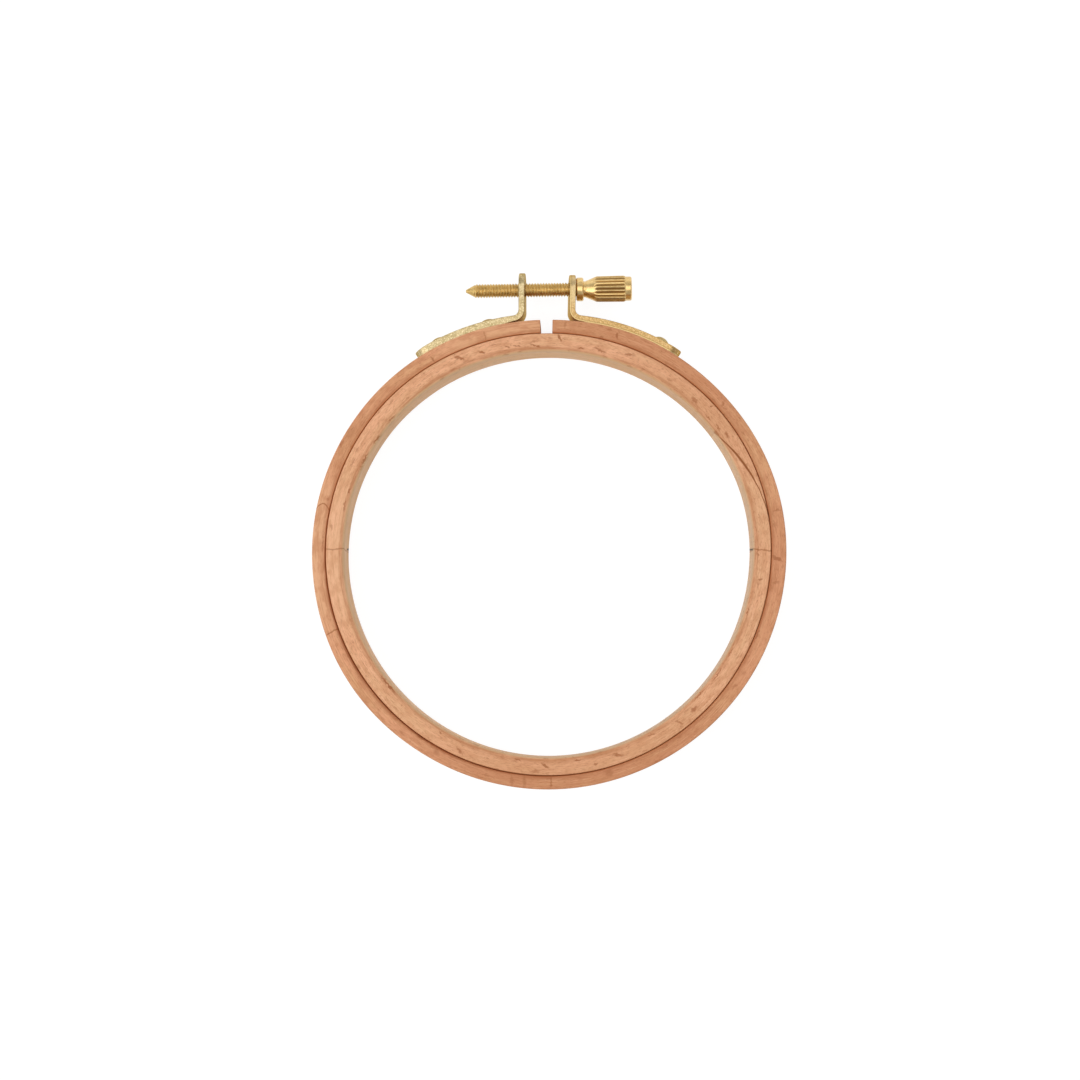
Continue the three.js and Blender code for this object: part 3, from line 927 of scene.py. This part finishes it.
for side, mirror in (("left", -1), ("right", 1)):
    path, strap_length, ear_base = strap_path(EAR_MIDDLE[side], EAR_REACH[side])
    strap = flat_strap(side + "_bracket_strip", path[-1][0])
    merged(strap)
    drills = []
    for name, angle in RIVET_ANGLES.items():
        if name.startswith(side):
            from_tail = STRAP_MIDDLE * math.radians(TAIL_ANGLE - abs(90 - angle))
            drills.append(lathed("drill", rivet_drill, HOLE_SIDES, Matrix.Translation((from_tail, 0, 0))))
    screw_hole = Matrix.Translation((ear_base + SCREW_AXIS_Y, 0, 0))
    drills.append(lathed("drill", screw_drill, HOLE_SIDES, screw_hole))
    bored(strap, drills)
    sheet = strap.data.attributes.new("sheet", "FLOAT_VECTOR", "POINT")
    for number, vertex in enumerate(strap.data.vertices):
        along, across, lift = vertex.co / MM
        sheet.data[number].vector = (along, across, lift)
        index = 0
        while index < len(path) - 2 and path[index + 1][0] < along:
            index += 1
        before, start, out_start = path[index]
        after, finish, out_finish = path[index + 1]
        share = (along - before) / (after - before)
        point = start.lerp(finish, share)
        out = out_start.lerp(out_finish, share).normalized()
        if lift < 0:
            seated = ramp(strap_length - along, 0.0, SEATED_OVER)
            lift += lift / face * (STRIP_LIFT - STRIP_SEAT) * seated
        lift += TAIL_LIFT[side] * max(0.0, 1 - along / TAIL_CURL) ** 2
        spot = point + out * lift
        spot.x += ASKEW[side] * across * ramp(along, ASKEW_FROM, ASKEW_OVER)
        upright = ramp(along, strap_length, 1.3 * BEND_RADIUS)
        spot.x += EAR_LEAN[side] * (spot.y - SCREW_AXIS_Y) * upright
        round_angle = math.degrees(math.atan2(spot.y, mirror * spot.x))
        below_screw = ramp(SCREW_AXIS_Y - spot.y, FORM_LOST_FROM, FORM_LOST_OVER)
        outward = sprung(round_angle) + extra_thickness(round_angle) + STANDS_OFF[side]
        spot *= 1 + outward * below_screw / spot.length
        vertex.co = (Vector((mirror * spot.x, spot.y, OUTER_DEPTH / 2 + across)) + RING_MIDDLE) * MM
    if mirror < 0:
        strap.data.flip_normals()
    strap.data.materials.append(strap_brass[side])
    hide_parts(side + "_bracket")
    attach(strap, "outer_hoop" if side == "left" else "right_clamp")


# RIVETS
# Four solid brass rivets hold the straps to the outer ring: a low dome outside, a shank through the
# strap and the wood, and a foot that is hammered wide in its pocket inside the ring.
HEAD_RADIUS = 1.95
HEAD_HEIGHTS = {
    "left_tail_rivet": 0.65,
    "left_bend_rivet": 0.7,
    "right_bend_rivet": 0.4,
    "right_tail_rivet": 0.95,
}
HEAD_RIM = 0.12
DOME_STEPS = 14
RIVET_SIDES = 48
FOOT_RADIUS = 1.7
FOOT_HEIGHT = 0.45
FOOT_INSET = 0.15

strap_outside = OUTER_RADIUS + STRIP_LIFT + STRIP_THICKNESS
foot_start = OUTER_BORE + FOOT_INSET
for name, angle in RIVET_ANGLES.items():
    rivet_profile = [
        (0, foot_start),
        (FOOT_RADIUS * 0.5, foot_start + 0.02),
        (FOOT_RADIUS * 0.86, foot_start + 0.1),
        (FOOT_RADIUS, foot_start + 0.26),
        (FOOT_RADIUS * 0.95, foot_start + FOOT_HEIGHT),
        (RIVET_SHANK * 0.98, foot_start + FOOT_HEIGHT),
        (RIVET_SHANK * 0.98, strap_outside + 0.02),
        (HEAD_RADIUS - 0.08, strap_outside + 0.02),
        (HEAD_RADIUS, strap_outside + 0.1),
    ]
    crown = HEAD_HEIGHTS[name]
    dome_radius = (HEAD_RADIUS ** 2 + crown ** 2) / (2 * crown)
    for step in range(1, DOME_STEPS + 1):
        turn = math.pi / 2 * step / DOME_STEPS
        radius = HEAD_RADIUS * math.cos(turn)
        height = math.sqrt(dome_radius ** 2 - radius ** 2) - (dome_radius - crown)
        rivet_profile.append((radius if step < DOME_STEPS else 0, strap_outside + max(height, HEAD_RIM)))
    outward = sprung(angle) + extra_thickness(angle) + STANDS_OFF[name.split("_")[0]]
    rivet = lathed(name + "_domed", rivet_profile, RIVET_SIDES, outwards(angle, outward), sharp=50.0)
    rivet.data.materials.append(strap_brass["left"])
    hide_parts(name)
    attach(rivet, "outer_hoop" if angle > 90 else "right_clamp")


# CLAMP SCREW
# One piece turned from brass bar: a pointed shank with a fine right-hand thread, a collar that bears on
# the right ear, a neck, a flare and a barrel with broad V-shaped grooves, and a plain boss at the end.
THREAD_RADIUS = 1.575
THREAD_PITCH = 0.635
THREAD_DEPTH = 0.27
SCREW_TILT = 0.8
SCREW_MIDDLE_X = 5.6
COLLAR_START = 0.86
TIP = -24.35
TIP_RADIUS = 0.3
POINT_LENGTH = 2.35
COLLAR_RADIUS = 2.7
COLLAR_BEVEL = 0.28
COLLAR_LENGTH = 1.68
NECK_RADIUS = 1.82
NECK_LENGTH = 0.35
FLARE_LENGTH = 2.55
BARREL_RADIUS = 2.93
BARREL_TAPER = 0.07
BARREL_LENGTH = 6.65
BOSS_RADIUS = 2.76
BOSS_LENGTH = 1.45
GROOVES = 20
GROOVE_DEPTH = 0.26
TURNED_CORNER = 0.4
CORNER_STEPS = 6
THREAD_INTO_COLLAR = 0.6
# The flat at the thread's root and its flank, as shares of half a pitch.
THREAD_ROOT = 0.12
THREAD_FLANK = 0.7

thread_sides = 48
rows_per_pitch = 10
thread_start = TIP - THREAD_PITCH
thread_end = COLLAR_START + THREAD_INTO_COLLAR
thread_rows = int((thread_end - thread_start) / THREAD_PITCH * rows_per_pitch)
point_slope = (THREAD_RADIUS - TIP_RADIUS) / POINT_LENGTH
vertices = []
for row in range(thread_rows + 1):
    place = (row % rows_per_pitch) / rows_per_pitch
    flank = abs(place - 0.5) * 2
    crest = ramp(flank, THREAD_ROOT, THREAD_FLANK)
    radius = THREAD_RADIUS - THREAD_DEPTH * (1 - crest * crest * (3 - 2 * crest))
    for side in range(thread_sides):
        turn = 2 * math.pi * side / thread_sides
        along = thread_start + (row / rows_per_pitch + side / thread_sides) * THREAD_PITCH
        limit = TIP_RADIUS + (along - TIP) * point_slope
        reach = min(radius, max(limit, TIP_RADIUS))
        along = max(along, TIP)
        vertices.append((reach * math.sin(turn), reach * math.cos(turn), along))
faces = []
for row in range(thread_rows):
    for side in range(thread_sides):
        here = row * thread_sides + side
        if side == thread_sides - 1:
            following = (row + rows_per_pitch) * thread_sides
            if row + rows_per_pitch + 1 > thread_rows:
                continue
            faces.append((here, following, following + thread_sides, here + thread_sides))
        else:
            faces.append((here, here + 1, here + 1 + thread_sides, here + thread_sides))
faces.append(tuple(range(thread_sides)))
along_screw = Matrix.Rotation(math.radians(SCREW_TILT), 4, "Z") @ Matrix.Rotation(math.pi / 2, 4, "Y")
screw_middle = RING_MIDDLE + Vector((SCREW_MIDDLE_X, SCREW_AXIS_Y, OUTER_DEPTH / 2))
screw_place = Matrix.Translation(screw_middle) @ along_screw
screw = finished_mesh("clamp_screw_turned", vertices, faces, 40.0, screw_place)
merged(screw)


def turned_corner(radius, end):
    """Points over a cylinder's rounded end, from its side to its end face."""
    points = []
    for step in range(CORNER_STEPS + 1):
        turn = math.pi / 2 * step / CORNER_STEPS
        in_from_side = TURNED_CORNER * (1 - math.cos(turn))
        short_of_end = TURNED_CORNER * (1 - math.sin(turn))
        points.append((radius - in_from_side, end - short_of_end))
    return points


collar_end = COLLAR_START + COLLAR_LENGTH
flare_start = collar_end + NECK_LENGTH
barrel_start = flare_start + FLARE_LENGTH
barrel_end = barrel_start + BARREL_LENGTH
boss_end = barrel_end + BOSS_LENGTH
head = [
    (0.9, COLLAR_START),
    (COLLAR_RADIUS - COLLAR_BEVEL, COLLAR_START),
    (COLLAR_RADIUS, COLLAR_START + COLLAR_BEVEL),
]
head += turned_corner(COLLAR_RADIUS, collar_end)
head += [(NECK_RADIUS + 0.08, collar_end), (NECK_RADIUS, collar_end + 0.08), (NECK_RADIUS, flare_start)]
flare_widens = BARREL_RADIUS - 0.04 - NECK_RADIUS
flare_steps = 12
for step in range(1, flare_steps + 1):
    share = step / flare_steps
    head.append((NECK_RADIUS + flare_widens * share, flare_start + FLARE_LENGTH * share))
grooves_start = barrel_start + 0.12
grooves_length = BARREL_LENGTH - 0.52
barrel_steps = 45
for step in range(1, barrel_steps + 1):
    share = step / barrel_steps
    head.append((BARREL_RADIUS + BARREL_TAPER * share, grooves_start + grooves_length * share))
head += [
    (BARREL_RADIUS + BARREL_TAPER - 0.06, barrel_end - 0.2),
    (BARREL_RADIUS + BARREL_TAPER - 0.2, barrel_end),
    (BOSS_RADIUS + 0.03, barrel_end),
    (BOSS_RADIUS, barrel_end + 0.05),
]
head += turned_corner(BOSS_RADIUS, boss_end)
head.append((0, boss_end))


def grooved(radius, along, turn):
    """The barrel's radius where a V-shaped cutter has run along it."""
    if along < flare_start or along > barrel_end:
        return radius
    place = (turn * GROOVES / (2 * math.pi)) % 1.0
    across = abs(place - 0.5) * 2
    trough = max(0.0, 1 - across / 0.94)
    crest = BARREL_RADIUS + BARREL_TAPER * max(0.0, along - barrel_start) / BARREL_LENGTH
    return min(radius, crest - GROOVE_DEPTH * trough)


vertices = []
cut_depths = []
head_sides = GROOVES * 16
for radius, along in head:
    if radius == 0:
        vertices.append((0, 0, along))
        cut_depths.append(0.0)
        continue
    for side in range(head_sides):
        turn = 2 * math.pi * side / head_sides
        reach = grooved(radius, along, turn)
        vertices.append((reach * math.cos(turn), reach * math.sin(turn), along))
        cut_depths.append(radius - reach)
faces = skin(len(head) - 1, head_sides)
last_ring = (len(head) - 2) * head_sides
for side in range(head_sides):
    faces.append((last_ring + side, last_ring + (side + 1) % head_sides, len(vertices) - 1))
screw_head = finished_mesh("clamp_screw_head", vertices, faces, 30.0, screw_place)
cut = screw_head.data.attributes.new("cut", "FLOAT", "POINT")
cut.data.foreach_set("value", cut_depths)


def turned_brass(name, dull, bright, smoothest, groove=None):
    """Bright brass straight from the lathe: fine tool rings under a thin tarnish, and the grooves painted
    darker.
    """
    paint = Paint(name)
    place = paint.nodes.new("ShaderNodeTexCoord").outputs["Object"]
    tool = paint.clouds(paint.sized(place, (0.09 * MM, 1.4 * MM, 1.4 * MM)), 3.0)
    tarnish = paint.clouds(paint.sized(place, (1.1 * MM,) * 3, 3.0), 4.0, 0.6)
    colour = paint.mixed(paint.between(tarnish, 0.35, 0.68), dull, bright)
    roughness = paint.between(tarnish, 0.3, 0.7, smoothest, smoothest + 0.1)
    if groove:
        depth = paint.stored("cut", "Fac")
        colour = paint.mixed(paint.between(depth, 0.0, GROOVE_DEPTH * 0.85, 0.0, 0.9), colour, groove)
        roughness = paint.sums("ADD", roughness, paint.between(depth, 0.0, 0.05, 0.0, 0.12))
    paint.finish({"Base Color": colour, "Roughness": roughness, "Metallic": 1.0})
    paint.raised(tool, 0.3, 0.02)
    return paint.material


thread_brass = turned_brass("threaded_brass", (0.6, 0.41, 0.15, 1), (0.76, 0.535, 0.21, 1), 0.38)
head_tones = ((0.72, 0.49, 0.2, 1), (0.84, 0.61, 0.28, 1))
head_brass = turned_brass("turned_brass", *head_tones, 0.25, groove=(0.25, 0.115, 0.022, 1))
screw.data.materials.append(thread_brass)
screw_head.data.materials.append(head_brass)
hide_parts("clamp_screw")
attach(screw, "screw")
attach(screw_head, "screw")


# TABLE
# The hoop lies on a plain white table, and low white walls stand far off at its four edges. Both look
# white to the eye and in the brass, and the table still shows the hoop's soft shadow.
TABLE_EDGE = 3000
WALL_TOP = 900
GLOWING_SHARE = 0.82
corners = ((-1, -1), (1, -1), (1, 1), (-1, 1))
walls = [(side, side + 4, (side + 1) % 4 + 4, (side + 1) % 4) for side in range(4)]
table = finished_mesh(
    "table_top",
    [(x * TABLE_EDGE, y * TABLE_EDGE, height) for height in (0, WALL_TOP) for x, y in corners],
    [(0, 1, 2, 3)] + walls,
    place=Matrix.Translation((0, 0, -0.02)),
)
white = Paint("white_table")
white.finish({"Base Color": (0.92, 0.92, 0.92, 1), "Roughness": 0.8, "Specular IOR Level": 0.1})
glow = white.step("Emission", {"Strength": 1.1})["Emission"]
ray = white.step("LightPath", {})
seen = white.sums("ADD", ray["Is Camera Ray"], ray["Is Glossy Ray"])
seen = white.sums("ADD", seen, ray["Is Transmission Ray"])
glowing = white.times(seen, GLOWING_SHARE)
lit = white.step("MixShader", {"Fac": glowing, 1: white.shader.outputs["BSDF"], 2: glow})["Shader"]
white.put(white.nodes["Material Output"].inputs["Surface"], lit)
table.data.materials.append(white.material)


# STUDIO LIGHT
# Two soft boxes hang over the hoop, nearer the viewer's left, and a wide one stands upright beyond the
# clamp for the brass to mirror. The room itself gives a dim white light.
def soft_box(name, place, turn, width, depth, power):
    """A wide flat lamp that shines down unless it is turned: metres, degrees and watts."""
    lamp = bpy.data.lights.new(name, "AREA")
    lamp.shape = "RECTANGLE"
    lamp.size = width
    lamp.size_y = depth
    lamp.energy = power
    box = bpy.data.objects.new(name, lamp)
    box.location = place
    box.rotation_euler = (math.radians(turn), 0, 0)
    bpy.context.scene.collection.objects.link(box)


soft_box("overhead", (-0.3, 0.02, 0.95), 0, 1.9, 0.64, 5.15)
soft_box("overhead_left", (-1.05, -0.4, 0.95), 0, 0.7, 0.9, 6.5)
soft_box("beyond", (0, 1.1, 0.65), -90, 2.0, 1.2, 2.5)
world = bpy.data.worlds.new("studio")
bpy.context.scene.world = world
world.use_nodes = True
background = world.node_tree.nodes["Background"]
background.inputs["Color"].default_value = (1, 1, 1, 1)
background.inputs["Strength"].default_value = 0.52


# CAMERA
# A lens of about 78 mm looks almost straight down from 54 cm above the table, a little below and to the
# right of the hoop's middle.
FOCAL_PIXELS = 2350.2
PICTURE_PIXELS = 1080


def from_ring_middle(x, y, z):
    return (Vector((x, y, z)) + RING_MIDDLE) * MM


eye = from_ring_middle(8.53, -30.33, 538.79)
target = from_ring_middle(-1.70, 2.75, 12.0)
forward = (target - eye).normalized()
right = forward.cross(Vector((0, 1, 0))).normalized()
up = right.cross(forward)
lens = bpy.data.cameras.new("camera")
lens.sensor_width = 36.0
lens.lens = FOCAL_PIXELS / PICTURE_PIXELS * lens.sensor_width
lens.clip_start = 0.01
camera = bpy.data.objects.new("camera", lens)
axes = Matrix((right, up, -forward)).transposed().to_4x4()
camera.matrix_world = Matrix.Translation(eye) @ axes
bpy.context.scene.collection.objects.link(camera)
bpy.context.scene.camera = camera
bpy.context.scene.view_settings.view_transform = "Standard"
